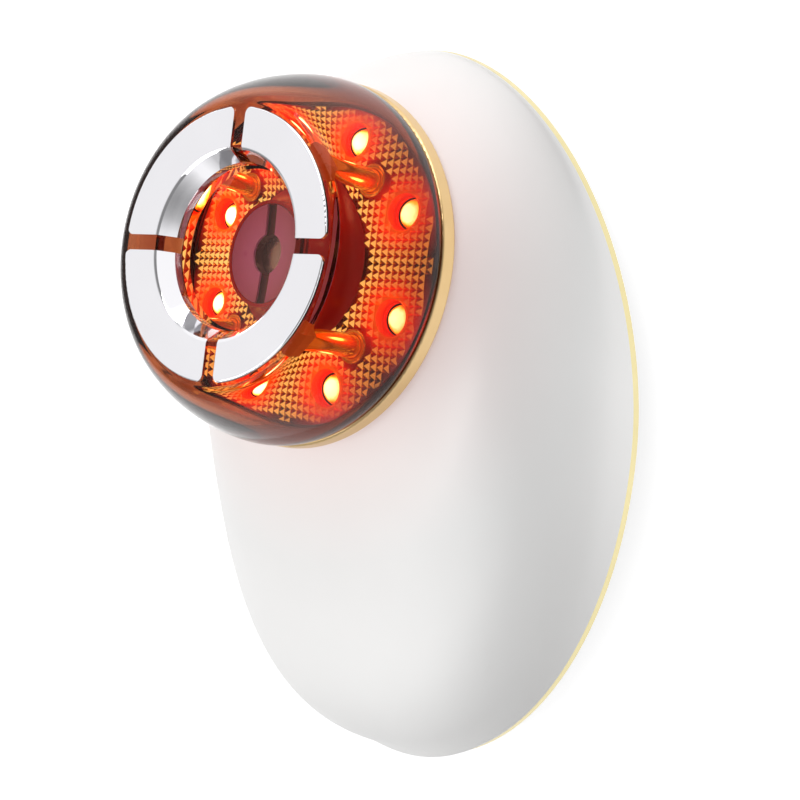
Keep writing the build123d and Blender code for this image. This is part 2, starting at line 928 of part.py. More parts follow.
with BuildPart() as controller_chip:
    with BuildSketch(Plane.XY.offset(board_top)):
        with Locations((0, chip_y)):
            Rectangle(chip_size, chip_size)
    extrude(amount=chip_height)
    chamfer(controller_chip.edges().group_by(Axis.Z)[-1], length=chip_edge)
controller_chip.part.label = "controller_chip"
export_step(controller_chip.part, "parts/controller_chip.step")

with BuildPart() as pulse_transformer:
    with BuildSketch(Plane.XY.offset(board_top)):
        with Locations((0, transformer_y)):
            RectangleRounded(transformer_size, transformer_size, transformer_corner)
    extrude(amount=transformer_flange)
    with BuildSketch(Plane.XY.offset(board_top)):
        with Locations((0, transformer_y)):
            Circle(transformer_core)
    extrude(amount=transformer_height)
    with BuildSketch(Plane.XY.offset(board_top + transformer_height - transformer_flange)):
        with Locations((0, transformer_y)):
            RectangleRounded(transformer_size, transformer_size, transformer_corner)
    extrude(amount=transformer_flange)
pulse_transformer.part.label = "pulse_transformer"
export_step(pulse_transformer.part, "parts/pulse_transformer.step")

with BuildPart() as board_capacitors:
    with BuildSketch(Plane.XY.offset(board_top)):
        with Locations((0, transformer_y)):
            with GridLocations(capacitor_spacing, 0, 2, 1):
                Circle(capacitor_radius)
    extrude(amount=capacitor_height)
    fillet(board_capacitors.edges().group_by(Axis.Z)[-1], radius=capacitor_edge)
board_capacitors.part.label = "board_capacitors"
export_step(board_capacitors.part, "parts/board_capacitors.step")

# ---------------------------------------------------------------- inner frame, battery and motor

frame_top = frame_level + frame_thickness

with BuildPart() as inner_frame:
    with BuildSketch(flat_plane(frame_level)):
        with BuildLine():
            Spline(*egg(*rim_sizes(frame_inset)), periodic=True)
        make_face()
    extrude(amount=frame_thickness)
    with BuildSketch(Plane.XY.offset(frame_level)):
        with Locations((0, frame_end_y)):
            Rectangle(2 * half_width, 2 * half_width, align=(Align.CENTER, Align.MIN))
    extrude(amount=frame_thickness, mode=Mode.SUBTRACT)
    with BuildSketch(Plane.XY.offset(frame_top)):
        with Locations((0, battery_centre_y)):
            Rectangle(
                battery_width + 2 * (frame_wall + fit_gap),
                battery_length + 2 * (frame_wall + fit_gap),
            )
            Rectangle(
                battery_width + 2 * fit_gap, battery_length + 2 * fit_gap, mode=Mode.SUBTRACT
            )
    extrude(amount=battery_height / 2)
    with BuildSketch(Plane.XY.offset(frame_level)):
        with Locations(*leg_spots):
            Circle(frame_leg_radius)
    extrude(amount=board_top - frame_level)
    with BuildSketch(Plane.XY.offset(frame_level)):
        with Locations(*leg_spots):
            Circle(frame_pin_radius)
    extrude(amount=leg_pin_end - frame_level)
inner_frame.part.label = "inner_frame"
export_step(inner_frame.part, "parts/inner_frame.step")

with BuildPart() as battery:
    with BuildSketch(Plane.XY.offset(frame_top)):
        with Locations((0, battery_centre_y)):
            RectangleRounded(battery_width, battery_length, battery_corner)
    extrude(amount=battery_height)
    fillet(battery.edges().group_by(Axis.Z)[-1], radius=battery_edge)
battery.part.label = "battery"
export_step(battery.part, "parts/battery.step")

with BuildPart() as vibration_motor:
    with BuildSketch(Plane.XY.offset(frame_top)):
        with Locations((0, motor_y)):
            Circle(motor_radius)
    extrude(amount=motor_height)
    fillet(vibration_motor.edges().group_by(Axis.Z)[-1], radius=motor_edge)
vibration_motor.part.label = "vibration_motor"
export_step(vibration_motor.part, "parts/vibration_motor.step")

# ---------------------------------------------------------------- charging socket

socket_length = board_level - socket_set_back

with BuildPart() as charging_socket:
    with BuildSketch(Plane.XY.offset(socket_set_back)):
        with Locations((0, socket_y)):
            SlotOverall(socket_width, socket_height)
    extrude(amount=socket_length)
    with BuildSketch(Plane.XY.offset(socket_set_back)):
        with Locations((0, socket_y)):
            SlotOverall(socket_width - 2 * socket_wall, socket_height - 2 * socket_wall)
    extrude(amount=socket_length - socket_wall, mode=Mode.SUBTRACT)
charging_socket.part.label = "charging_socket"
export_step(charging_socket.part, "parts/charging_socket.step")

with BuildPart() as socket_tongue:
    with BuildSketch(Plane.XY.offset(board_level - socket_wall)):
        with Locations((0, socket_y)):
            Rectangle(tongue_width, tongue_thickness)
    extrude(amount=socket_wall + tongue_set_back - socket_length)
socket_tongue.part.label = "socket_tongue"
export_step(socket_tongue.part, "parts/socket_tongue.step")

# ---------------------------------------------------------------- buttons, switches and lights

switch_foot = board_level - switch_height
stem_top = switch_foot - switch_tip_height - button_travel - fit_gap
flange_foot = cover_wall + button_stop_gap

with BuildPart() as power_button:
    with BuildSketch(Plane.XY.offset(button_set_back)):
        with Locations((0, power_button_y)):
            Circle(power_button_radius)
    extrude(amount=flange_foot - button_set_back)
    fillet(power_button.edges().group_by(Axis.Z)[0], radius=button_set_back)
    with BuildSketch(Plane.XY.offset(flange_foot)):
        with Locations((0, power_button_y)):
            Circle(power_button_radius + button_flange)
    extrude(amount=button_flange_thickness)
    with BuildSketch(Plane.XY.offset(flange_foot)):
        with Locations((0, power_button_y)):
            Circle(button_stem_radius)
    extrude(amount=stem_top - flange_foot)
power_button.part.label = "power_button"
export_step(power_button.part, "parts/power_button.step")

with BuildPart() as mode_button:
    with BuildSketch(Plane.XY.offset(button_set_back)):
        with Locations((0, mode_button_y)):
            SlotOverall(mode_button_length, mode_button_width)
    extrude(amount=flange_foot - button_set_back)
    fillet(mode_button.edges().group_by(Axis.Z)[0], radius=button_set_back)
    with BuildSketch(Plane.XY.offset(flange_foot)):
        with Locations((0, mode_button_y)):
            SlotOverall(
                mode_button_length + 2 * button_flange, mode_button_width + 2 * button_flange
            )
    extrude(amount=button_flange_thickness)
    with BuildSketch(Plane.XY.offset(flange_foot)):
        with Locations((0, mode_button_y)):
            Circle(button_stem_radius)
    extrude(amount=stem_top - flange_foot)
mode_button.part.label = "mode_button"
export_step(mode_button.part, "parts/mode_button.step")

for name, place in (("power_switch", power_button_y), ("mode_switch", mode_button_y)):
    with BuildPart() as switch:
        with BuildSketch(Plane.XY.offset(switch_foot)):
            with Locations((0, place)):
                RectangleRounded(switch_size, switch_size, switch_corner)
        extrude(amount=switch_height)
        with BuildSketch(Plane.XY.offset(switch_foot)):
            with Locations((0, place)):
                Circle(switch_tip_radius)
        extrude(amount=-switch_tip_height)
    switch.part.label = name
    export_step(switch.part, f"parts/{name}.step")

with BuildPart() as level_lights:
    with BuildSketch(Plane.XY.offset(dish_depth)):
        with Locations((0, light_y)):
            with GridLocations(light_spacing, 0, light_count, 1):
                Circle(light_radius)
    extrude(amount=board_level - dish_depth)
level_lights.part.label = "level_lights"
export_step(level_lights.part, "parts/level_lights.step")
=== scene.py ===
import math

import bmesh
import bpy
from mathutils import Matrix, Vector


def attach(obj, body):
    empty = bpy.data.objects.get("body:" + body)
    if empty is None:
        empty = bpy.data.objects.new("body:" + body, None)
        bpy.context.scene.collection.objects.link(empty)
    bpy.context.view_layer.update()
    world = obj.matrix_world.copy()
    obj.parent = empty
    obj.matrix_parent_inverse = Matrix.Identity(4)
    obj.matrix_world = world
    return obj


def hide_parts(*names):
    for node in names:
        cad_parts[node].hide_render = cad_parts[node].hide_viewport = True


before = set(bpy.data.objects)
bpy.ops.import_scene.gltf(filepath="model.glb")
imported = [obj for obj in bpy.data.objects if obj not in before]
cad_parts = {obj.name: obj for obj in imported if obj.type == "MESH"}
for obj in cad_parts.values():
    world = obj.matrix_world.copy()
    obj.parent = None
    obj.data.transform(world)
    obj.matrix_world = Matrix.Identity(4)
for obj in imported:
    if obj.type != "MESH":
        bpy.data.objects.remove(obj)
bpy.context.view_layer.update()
MM = 0.001

# ------------------------------------------------------------------ sizes shared with the solids, in mm
# The head's axis leans towards the head end. It starts at (0, CROSSING_Y, RIM_LEVEL), and the head's
# radii and levels are taken from that axis and from that point.
HEAD_TILT = 10.5
CROSSING_Y = 18.54
RIM_LEVEL = 7.0
PLATE_TOP = 31.25
PLATE_RADIUS = 27.0
CUP_RADIUS = 2.9
LAMP_CIRCLE = 22.0
LAMP_COUNT = 8
POST_CIRCLE = 19.0
POST_RADIUS = 1.9
POST_COLLAR = 1.0
POST_COUNT = 4
POST_TURN = 45.0
POST_HEAD = 43.65
HUB_BASE_RADIUS = 13.6
HUB_TOP = 39.25
CAP_SLOT_DEPTH = 1.0
FACE_DISTANCE = 50.25
FACE_RADIUS = 22.8
FACE_THICKNESS = 2.6
FACE_SET_BACK = 0.25
ELECTRODE_INNER = 15.5
DOME_RADIUS = 30.2
DOME_FOOT_RADIUS = 29.3
DOME_TUCK = 3.1
DOME_ROUNDNESS = 1.6
DOME_WALL = 2.4
SPIGOT_OUTER = 28.0
SPIGOT_INNER = 27.2
SPIGOT_END = 29.25
LIP_FOOT_STEP = 1.9
LIP_END_STEP = 2.1
LIP_SLOPE_DEPTH = 2.8
LIP_DEPTH = 4.1
WINDOW_EDGE_DEPTH = 4.3
WINDOW_DISH = 2.4
WINDOW_THICKNESS = 1.0
WINDOW_RADIUS = ELECTRODE_INNER - LIP_END_STEP
WELL_WALL = 1.6

tilt = math.radians(HEAD_TILT)
head_frame = Matrix.Translation(Vector((0, CROSSING_Y, RIM_LEVEL)) * MM) @ Matrix.Rotation(-tilt, 4, "X")

# ------------------------------------------------------------------ camera, in metres and degrees
CAMERA_PLACE = (0.591036, 0.054196, 0.646987)
CAMERA_AIM = (0.008832, 0.001692, 0.025)
CAMERA_ROLL = -94.035
CAMERA_LENS = 236.56
CAMERA_SENSOR = 36
CLIP_NEAR = 0.05
CLIP_FAR = 20

camera_data = bpy.data.cameras.new("camera")
camera_data.lens = CAMERA_LENS
camera_data.sensor_width = CAMERA_SENSOR
camera_data.clip_start = CLIP_NEAR
camera_data.clip_end = CLIP_FAR
camera = bpy.data.objects.new("camera", camera_data)
bpy.context.scene.collection.objects.link(camera)
forward = (Vector(CAMERA_AIM) - Vector(CAMERA_PLACE)).normalized()
side = forward.cross(Vector((0, 0, 1))).normalized()
up = side.cross(forward)
level = Matrix((side, up, -forward)).transposed().to_4x4()
roll = Matrix.Rotation(math.radians(CAMERA_ROLL), 4, "Z")
camera.matrix_world = Matrix.Translation(CAMERA_PLACE) @ level @ roll
bpy.context.scene.camera = camera

# ------------------------------------------------------------------ shader helpers
NOISE_ROUGHNESS = 0.55
NOISE_LOW = 0.3
NOISE_HIGH = 0.7


class Nodes:
    """A node tree, with short ways to add nodes and to join them."""

    def __init__(self, tree):
        self.tree = tree

    def add(self, kind):
        return self.tree.nodes.new(kind)

    def join(self, source, target):
        self.tree.links.new(source, target)

    def math(self, operation, *operands, clamp=False):
        node = self.add("ShaderNodeMath")
        node.operation = operation
        node.use_clamp = clamp
        for slot, operand in zip(node.inputs, operands):
            if isinstance(operand, (int, float)):
                slot.default_value = operand
            else:
                self.join(operand, slot)
        return node.outputs["Value"]

    def spread(self, source, low, high, start, end):
        """Number that goes from low to high as its source goes from start to end."""
        mapped = self.add("ShaderNodeMapRange")
        mapped.inputs["From Min"].default_value = start
        mapped.inputs["From Max"].default_value = end
        mapped.inputs["To Min"].default_value = low
        mapped.inputs["To Max"].default_value = high
        self.join(source, mapped.inputs["Value"])
        return mapped.outputs["Result"]

    def ramp(self, source, *stops):
        """Colour by a number, from (place, colour) stops."""
        node = self.add("ShaderNodeValToRGB")
        stored = node.color_ramp.elements
        while len(stored) < len(stops):
            stored.new(0.5)
        for element, (spot, colour) in zip(stored, stops):
            element.position = spot
            element.color = (*colour, 1)
        self.join(source, node.inputs["Fac"])
        return node.outputs["Color"]

    def blend(self, share, first, second):
        """Mix of two colours or colour outputs: the first at nought, the second at one."""
        node = self.add("ShaderNodeMix")
        node.data_type = "RGBA"
        self.join(share, node.inputs["Factor"])
        for key, value in (("A", first), ("B", second)):
            slot = [entry for entry in node.inputs if entry.name == key and entry.type == "RGBA"][0]
            if isinstance(value, tuple):
                slot.default_value = (*value, 1)
            else:
                self.join(value, slot)
        return [entry for entry in node.outputs if entry.type == "RGBA"][0]

    def total(self, first, second):
        """Sum of two colours."""
        node = self.add("ShaderNodeVectorMath")
        self.join(first, node.inputs[0])
        self.join(second, node.inputs[1])
        return node.outputs["Vector"]

    def cosine(self, vector, direction):
        """Cosine between a unit vector and a direction of length one."""
        node = self.add("ShaderNodeVectorMath")
        node.operation = "DOT_PRODUCT"
        self.join(vector, node.inputs[0])
        node.inputs[1].default_value = direction
        return node.outputs["Value"]

    def parts(self, vector):
        """X, Y and Z of a vector."""
        node = self.add("ShaderNodeSeparateXYZ")
        self.join(vector, node.inputs["Vector"])
        return node.outputs["X"], node.outputs["Y"], node.outputs["Z"]

    def reach(self, across, along):
        """Distance from nought of a point given by two numbers."""
        squares = [self.math("MULTIPLY", number, number) for number in (across, along)]
        return self.math("SQRT", self.math("ADD", *squares))

    def seen(self):
        """One for rays from the camera and for those that mirrors and clear parts send on, else nought."""
        paths = self.add("ShaderNodeLightPath")
        seen = self.math("ADD", paths.outputs["Is Camera Ray"], paths.outputs["Is Glossy Ray"])
        return self.math("ADD", seen, paths.outputs["Is Transmission Ray"], clamp=True)


class Shader(Nodes):
    """A material. Noise scales are in waves to the metre."""

    def __init__(self, name):
        self.material = bpy.data.materials.new(name)
        self.material.use_nodes = True
        super().__init__(self.material.node_tree)
        self.principled = self.tree.nodes["Principled BSDF"]
        self.output = self.tree.nodes["Material Output"]

    def set(self, **values):
        for key, value in values.items():
            self.principled.inputs[key.replace("_", " ")].default_value = value

    def feed(self, name, source):
        self.join(source, self.principled.inputs[name])

    def place(self):
        return self.add("ShaderNodeTexCoord").outputs["Object"]

    def noise(self, scale, detail=3.0):
        noise = self.add("ShaderNodeTexNoise")
        noise.inputs["Scale"].default_value = scale
        noise.inputs["Detail"].default_value = detail
        noise.inputs["Roughness"].default_value = NOISE_ROUGHNESS
        self.join(self.place(), noise.inputs["Vector"])
        return noise.outputs["Fac"]

    def drift(self, low, high, scale):
        """Number that drifts between two values over the surface."""
        return self.spread(self.noise(scale), low, high, NOISE_LOW, NOISE_HIGH)

    def tints(self, low, high, scale):
        """Colour that drifts between two colours over the surface."""
        return self.ramp(self.noise(scale), (NOISE_LOW, low), (NOISE_HIGH, high))

    def gloss(self, low, high, scale):
        """Roughness that drifts between two values."""
        self.feed("Roughness", self.drift(low, high, scale))

    def grain(self, scale, strength, depth):
        """Fine unevenness of the surface, with its depth in millimetres."""
        bump = self.add("ShaderNodeBump")
        bump.inputs["Strength"].default_value = strength
        bump.inputs["Distance"].default_value = depth * MM
        self.join(self.noise(scale, detail=2), bump.inputs["Height"])
        self.feed("Normal", bump.outputs["Normal"])

    def fade(self, distance, start, end, low=0.0, high=1.0):
        """Number that goes from low to high between two distances in millimetres."""
        return self.spread(distance, low, high, start * MM, end * MM)

    def head_axes(self):
        """Metres across, up and along the head's leaning axis, as three outputs."""
        mapping = self.add("ShaderNodeMapping")
        mapping.inputs["Rotation"].default_value = (tilt, 0, 0)
        start = Matrix.Rotation(tilt, 3, "X") @ Vector((0, CROSSING_Y * MM, RIM_LEVEL * MM))
        mapping.inputs["Location"].default_value = -start
        self.join(self.place(), mapping.inputs["Vector"])
        return self.parts(mapping.outputs["Vector"])

    def lamp_distance(self):
        """Distance in metres from the centre line of the nearest lamp."""
        across, along, _ = self.head_axes()
        sector = 2 * math.pi / LAMP_COUNT
        turn = self.math("FRACT", self.math("DIVIDE", self.math("ARCTAN2", along, across), sector))
        turn = self.math("MULTIPLY", self.math("SUBTRACT", turn, 0.5), sector)
        radius = self.reach(across, along)
        outwards = self.math("MULTIPLY", radius, self.math("COSINE", turn))
        outwards = self.math("SUBTRACT", outwards, LAMP_CIRCLE * MM)
        sideways = self.math("MULTIPLY", radius, self.math("SINE", turn))
        return self.reach(outwards, sideways)


PLASTIC_UNEVENNESS = 0.03
METAL_SMOOTHER = 0.04
METAL_ROUGHER = 0.05
LEAST_ROUGHNESS = 0.01


def plastic(name, low, high, roughness, coat=0.0):
    shader = Shader(name)
    shader.set(Metallic=0.0, Coat_Weight=coat, Coat_Roughness=0.08)
    shader.feed("Base Color", shader.tints(low, high, scale=35))
    shader.gloss(roughness - PLASTIC_UNEVENNESS, roughness + PLASTIC_UNEVENNESS, scale=120)
    shader.grain(scale=900, strength=0.25, depth=0.01)
    return shader.material


def metal(name, low, high, roughness):
    shader = Shader(name)
    shader.set(Metallic=1.0)
    shader.feed("Base Color", shader.tints(low, high, scale=60))
    shader.gloss(max(roughness - METAL_SMOOTHER, LEAST_ROUGHNESS), roughness + METAL_ROUGHER, scale=300)
    shader.grain(scale=1500, strength=0.2, depth=0.004)
    return shader.material


# ------------------------------------------------------------------ materials
def shell_material():
    """Satin white plastic with a faint pink glow painted on close to the head, standing in for the lamps'
    light.
    """
    shader = Shader("white_shell")
    shader.set(Coat_Weight=0.03, Coat_Roughness=0.14, Specular_IOR_Level=0.05)
    shader.feed("Base Color", shader.tints((0.885, 0.88, 0.872), (0.915, 0.91, 0.902), scale=30))
    shader.gloss(0.33, 0.39, scale=140)
    shader.grain(scale=800, strength=0.2, depth=0.008)
    # Painted light: a pink glow, strongest close to the head and higher up its sides, stands in for the
    # lamps' light on the shell.
    across, along, height = shader.head_axes()
    near = shader.fade(shader.reach(across, along), start=29.0, end=48.0, low=1.0, high=0.0)
    painted_glow_height = shader.fade(height, start=6.0, end=26.0, high=0.13)
    shader.set(Emission_Color=(1.0, 0.22, 0.16, 1))
    shader.feed("Emission Strength", shader.math("MULTIPLY", near, painted_glow_height, clamp=True))
    return shader.material


def dome_material():
    """Clear smoky amber plastic, darker where it is seen through more of its thickness, with a painted shade
    darkening its colour towards its rim.
    """
    shader = Shader("smoky_amber")
    shader.set(IOR=1.49, Transmission_Weight=1.0, Specular_Tint=(0.5, 0.22, 0.18, 1))
    across, along, _ = shader.head_axes()
    # Painted shade: the colour turns darker towards the dome's rim.
    rim = shader.fade(shader.reach(across, along), start=27.5, end=30.0)
    shader.feed("Base Color", shader.blend(rim, (1.0, 0.97, 0.95), (0.50, 0.30, 0.22)))
    shader.gloss(0.0, 0.005, scale=90)
    inside = shader.add("ShaderNodeVolumeAbsorption")
    inside.inputs["Color"].default_value = (0.74, 0.38, 0.08, 1)
    inside.inputs["Density"].default_value = 750.0
    shader.join(inside.outputs["Volume"], shader.output.inputs["Volume"])

    # To light the dome is simply clear, so that its shadow stays faint.
    clear = shader.add("ShaderNodeBsdfTransparent")
    clear.inputs["Color"].default_value = (0.93, 0.88, 0.85, 1)
    path = shader.add("ShaderNodeLightPath")
    mix = shader.add("ShaderNodeMixShader")
    shader.join(path.outputs["Is Shadow Ray"], mix.inputs[0])
    shader.join(shader.principled.outputs["BSDF"], mix.inputs[1])
    shader.join(clear.outputs["BSDF"], mix.inputs[2])
    shader.join(mix.outputs["Shader"], shader.output.inputs["Surface"])
    return shader.material


# Colours of the painted glow of lamp light on the plate, from the edge of a cup outwards.
PLATE_GLOW = (
    (0.0, (1.0, 0.010, 0.0)),
    (0.095, (1.0, 0.02, 0.0)),
    (0.13, (1.0, 0.16, 0.004)),
    (0.3, (0.8, 0.02, 0.0)),
    (0.6, (0.26, 0.004, 0.0)),
    (1.0, (0.0, 0.0, 0.0)),
)


def plate_material():
    """Metallised plate whose pyramid sides carry painted light and shade by the way they face: lit gold
    towards +X, amber towards the tail and shaded dark red elsewhere.

    The lamps' light is painted on too: a red glow round each cup, and a gleam on the gold sides farther off.
    """
    shader = Shader("gold_reflector")
    shader.set(Metallic=1.0)
    # Painted light and shade: each pyramid side takes a lit, half-lit or shaded colour by the way it faces.
    normal = shader.add("ShaderNodeNewGeometry").outputs["True Normal"]
    across, along, _ = shader.parts(normal)
    rise = shader.cosine(normal, (0, math.sin(tilt), math.cos(tilt)))
    sloped = shader.spread(rise, 0.0, 1.0, start=0.2, end=0.4)
    painted_lit_sides = shader.math("MULTIPLY", shader.spread(across, 0.0, 1.0, start=0.3, end=0.5), sloped)
    painted_tail_sides = shader.math("MULTIPLY", shader.spread(along, 1.0, 0.0, start=-0.5, end=-0.2), sloped)
    # Painted lit gold, painted amber and painted shaded dark red, all for one gold plating.
    gold = shader.tints((1.0, 0.90, 0.60), (1.0, 0.96, 0.68), scale=220)
    painted_tail_amber = shader.tints((0.60, 0.30, 0.06), (0.72, 0.38, 0.08), scale=220)
    red = shader.tints((0.13, 0.010, 0.002), (0.18, 0.014, 0.002), scale=220)
    shader.feed("Base Color", shader.blend(painted_lit_sides, shader.blend(painted_tail_sides, red, painted_tail_amber), gold))
    shader.gloss(0.10, 0.18, scale=500)
    shader.grain(scale=1800, strength=0.15, depth=0.003)
    # Painted light: a red glow round each lamp cup, and a painted gleam on the lit gold sides farther from
    # it.
    distance = shader.lamp_distance()
    glow = shader.ramp(shader.fade(distance, start=2.2, end=9.2), *PLATE_GLOW)
    away = shader.fade(distance, start=3.0, end=7.5)
    gleam = shader.blend(shader.math("MULTIPLY", painted_lit_sides, away), (0.0, 0.0, 0.0), (0.85, 0.74, 0.24))
    shader.feed("Emission Color", shader.total(glow, gleam))
    shader.set(Emission_Strength=1.5)
    return shader.material


LAMP_GLOW = (
    (0.0, (1.0, 1.0, 0.9)),
    (0.5, (1.0, 1.0, 0.75)),
    (0.72, (1.0, 0.5, 0.07)),
    (0.86, (1.0, 0.14, 0.004)),
    (0.97, (0.3, 0.012, 0.0)),
    (1.0, (0.2, 0.004, 0.0)),
)
LAMP_WAVER = 0.25


def lamp_material():
    """Lamp that burns yellow-white in its middle and orange-red towards its edge."""
    shader = Shader("red_lamp")
    shader.set(Base_Color=(0.9, 0.12, 0.03, 1), Emission_Strength=6.0)
    shader.gloss(0.08, 0.14, scale=300)
    waver = shader.drift(-LAMP_WAVER * MM, LAMP_WAVER * MM, scale=700)
    distance = shader.math("ADD", shader.lamp_distance(), waver)
    shader.feed("Emission Color", shader.ramp(shader.fade(distance, start=0.0, end=2.5), *LAMP_GLOW))
    return shader.material


def post_material():
    """Gold-plated post under a smoky plastic block, with a faint orange glow painted on for the lamps'
    light.
    """
    shader = Shader("gold_post")
    block = shader.math("GREATER_THAN", shader.head_axes()[2], POST_HEAD * MM)
    plating = shader.tints((0.95, 0.66, 0.20), (1.0, 0.74, 0.28), scale=160)
    shader.feed("Base Color", shader.blend(block, plating, (0.45, 0.17, 0.20)))
    shader.feed("Metallic", shader.math("SUBTRACT", 1.0, block))
    shader.gloss(0.1, 0.18, scale=400)
    shader.grain(scale=1500, strength=0.15, depth=0.003)
    # Painted light: a faint orange glow standing in for the lamps' light on the posts.
    shader.set(Emission_Color=(1.0, 0.22, 0.0, 1), Emission_Strength=0.3)
    return shader.material


def cap_material():
    """Satin plastic, its mauve a dark red with a painted reflection, and painted dark in the slot as shade.
    """
    shader = Shader("mauve_cap")
    shader.set(Coat_Weight=0.2, Coat_Roughness=0.08)
    # Painted shade: below half the slot's depth the cap is near black; above it the mauve holds a painted
    # reflection.
    top = shader.math("GREATER_THAN", shader.head_axes()[2], (HUB_TOP - CAP_SLOT_DEPTH / 2) * MM)
    mauve = shader.tints((0.60, 0.28, 0.92), (0.66, 0.30, 0.98), scale=60)
    shader.feed("Base Color", shader.blend(top, (0.05, 0.006, 0.02), mauve))
    shader.gloss(0.26, 0.34, scale=160)
    shader.grain(scale=900, strength=0.2, depth=0.008)
    return shader.material


white = shell_material()
button_white = plastic("button_white", (0.86, 0.86, 0.855), (0.9, 0.9, 0.895), roughness=0.4)
plug_white = plastic("plug_white", (0.82, 0.82, 0.81), (0.86, 0.86, 0.85), roughness=0.55)
bezel_gold = metal("gold_trim", (0.64, 0.44, 0.21), (0.70, 0.50, 0.26), roughness=0.34)
band_gold = metal("band_gold", (0.70, 0.61, 0.32), (0.76, 0.67, 0.38), roughness=0.34)
mirror = metal("mirror_electrode", (0.93, 0.92, 0.95), (0.96, 0.95, 0.98), roughness=0.045)
hub_red = plastic("dark_red_hub", (0.55, 0.010, 0.03), (0.62, 0.014, 0.04), roughness=0.18, coat=0.1)
cap_mauve = cap_material()
lens_silver = metal("silver_lens", (0.36, 0.38, 0.46), (0.44, 0.46, 0.54), roughness=0.25)
rubber = plastic("black_rubber", (0.02, 0.02, 0.02), (0.035, 0.035, 0.035), roughness=0.7)
grey = plastic("grey_plastic", (0.2, 0.2, 0.21), (0.26, 0.26, 0.27), roughness=0.5)
black = plastic("black_component", (0.015, 0.015, 0.017), (0.03, 0.03, 0.032), roughness=0.45)
board = plastic("circuit_board", (0.01, 0.09, 0.035), (0.015, 0.13, 0.05), roughness=0.35)
steel = metal("steel", (0.55, 0.55, 0.57), (0.65, 0.65, 0.67), roughness=0.3)
wrap = plastic("battery_wrap", (0.05, 0.09, 0.2), (0.07, 0.12, 0.25), roughness=0.4)
frosted = plastic("light_pipe", (0.8, 0.82, 0.84), (0.86, 0.88, 0.9), roughness=0.3)
amber = dome_material()
plate_gold = plate_material()
red_lamp = lamp_material()
post_gold = post_material()

node_materials = {
    "front_shell": white,
    "back_cover": white,
    "rim_band": band_gold,
    "head_bezel": bezel_gold,
    "dome_lens": amber,
    "reflector_plate": plate_gold,
    "led_lamps": red_lamp,
    "lamp_board": board,
    "main_board": board,
    "centre_hub": hub_red,
    "hub_cap": cap_mauve,
    "sensor_lens": lens_silver,
    "head_seal": rubber,
    "housing_seal": rubber,
    "head_carrier": grey,
    "inner_frame": grey,
    "carrier_screws": steel,
    "cover_screws": steel,
    "screw_plugs": plug_white,
    "battery": wrap,
    "vibration_motor": steel,
    "controller_chip": black,
    "pulse_transformer": black,
    "board_capacitors": black,
    "charging_socket": steel,
    "socket_tongue": black,
    "power_switch": black,
    "mode_switch": black,
    "level_lights": frosted,
    "power_button": button_white,
    "mode_button": button_white,
}
for number in range(1, POST_COUNT + 1):
    node_materials[f"electrode_{number}"] = mirror
    node_materials[f"electrode_post_{number}"] = post_gold

for name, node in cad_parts.items():
    node.data.materials.clear()
    node.data.materials.append(node_materials[name])


# ------------------------------------------------------------------ pieces of the head, in mm
def head_piece(name, points, faces, material, slot, smooth=False):
    """Piece of a mesh given in millimetres in the head's own frame."""
    mesh = bpy.data.meshes.new(name)
    mesh.from_pydata([head_frame @ (Vector(point) * MM) for point in points], [], faces)
    mesh.materials.append(material)
    mesh.polygons.foreach_set("use_smooth", [smooth] * len(mesh.polygons))
    mesh.update()
    made = bpy.data.objects.new(name, mesh)
    bpy.context.scene.collection.objects.link(made)
    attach(made, "device")
    return made


def ring_spots(circle, count, start):
    """Centres of a pattern round the head axis."""
    turns = [math.radians(start + 360 / count * step) for step in range(count)]
    return [(circle * math.cos(turn), circle * math.sin(turn)) for turn in turns]


lamp_spots = ring_spots(LAMP_CIRCLE, LAMP_COUNT, 180 / LAMP_COUNT)
post_spots = ring_spots(POST_CIRCLE, POST_COUNT, POST_TURN)
collar_radius = POST_RADIUS + POST_COLLAR

PYRAMID_PITCH = 1.3
PYRAMID_HEIGHT = 0.6
FIELD_MARGIN = 0.1
FIELD_LIFT = 0.02
APEX_MARGIN = 0.2

field_edge = PLATE_RADIUS - FIELD_MARGIN
field_level = PLATE_TOP + FIELD_LIFT
holes = [(*spot, CUP_RADIUS) for spot in lamp_spots]
holes += [(*spot, collar_radius) for spot in post_spots]
holes.append((0.0, 0.0, HUB_BASE_RADIUS))


def field_corner(x, y):
    """Corner of the pyramid grid, moved to the edge of the field or of the hole it falls in."""
    radius = math.hypot(x, y)
    if radius > field_edge:
        x, y = x * field_edge / radius, y * field_edge / radius
    for hole_x, hole_y, edge in holes:
        away = math.hypot(x - hole_x, y - hole_y)
        if 0 < away < edge:
            x = hole_x + (x - hole_x) * edge / away
            y = hole_y + (y - hole_y) * edge / away
    return (x, y, field_level)


def clear_of_holes(x, y):
    if math.hypot(x, y) > field_edge - APEX_MARGIN:
        return False
    return all(math.hypot(x - hole_x, y - hole_y) > edge + APEX_MARGIN for hole_x, hole_y, edge in holes)


def pyramid_field():
    """Points and faces of small square pyramids over the plate, cut round lamps, posts and hub."""
    points, faces, corners = [], [], {}
    steps = int(field_edge / PYRAMID_PITCH) + 1

    def corner(column, row):
        if (column, row) not in corners:
            corners[column, row] = len(points)
            points.append(field_corner(column * PYRAMID_PITCH, row * PYRAMID_PITCH))
        return corners[column, row]

    for column in range(-steps, steps):
        for row in range(-steps, steps):
            x, y = (column + 0.5) * PYRAMID_PITCH, (row + 0.5) * PYRAMID_PITCH
            if not clear_of_holes(x, y):
                continue
            square = ((column, row), (column + 1, row), (column + 1, row + 1), (column, row + 1))
            base = [corner(*spot) for spot in square]
            points.append((x, y, PLATE_TOP + PYRAMID_HEIGHT))
            top = len(points) - 1
            faces += [(base[edge], base[(edge + 1) % 4], top) for edge in range(4)]
    return points, faces


head_piece("pyramid_field", *pyramid_field(), plate_gold, "gold_reflector")


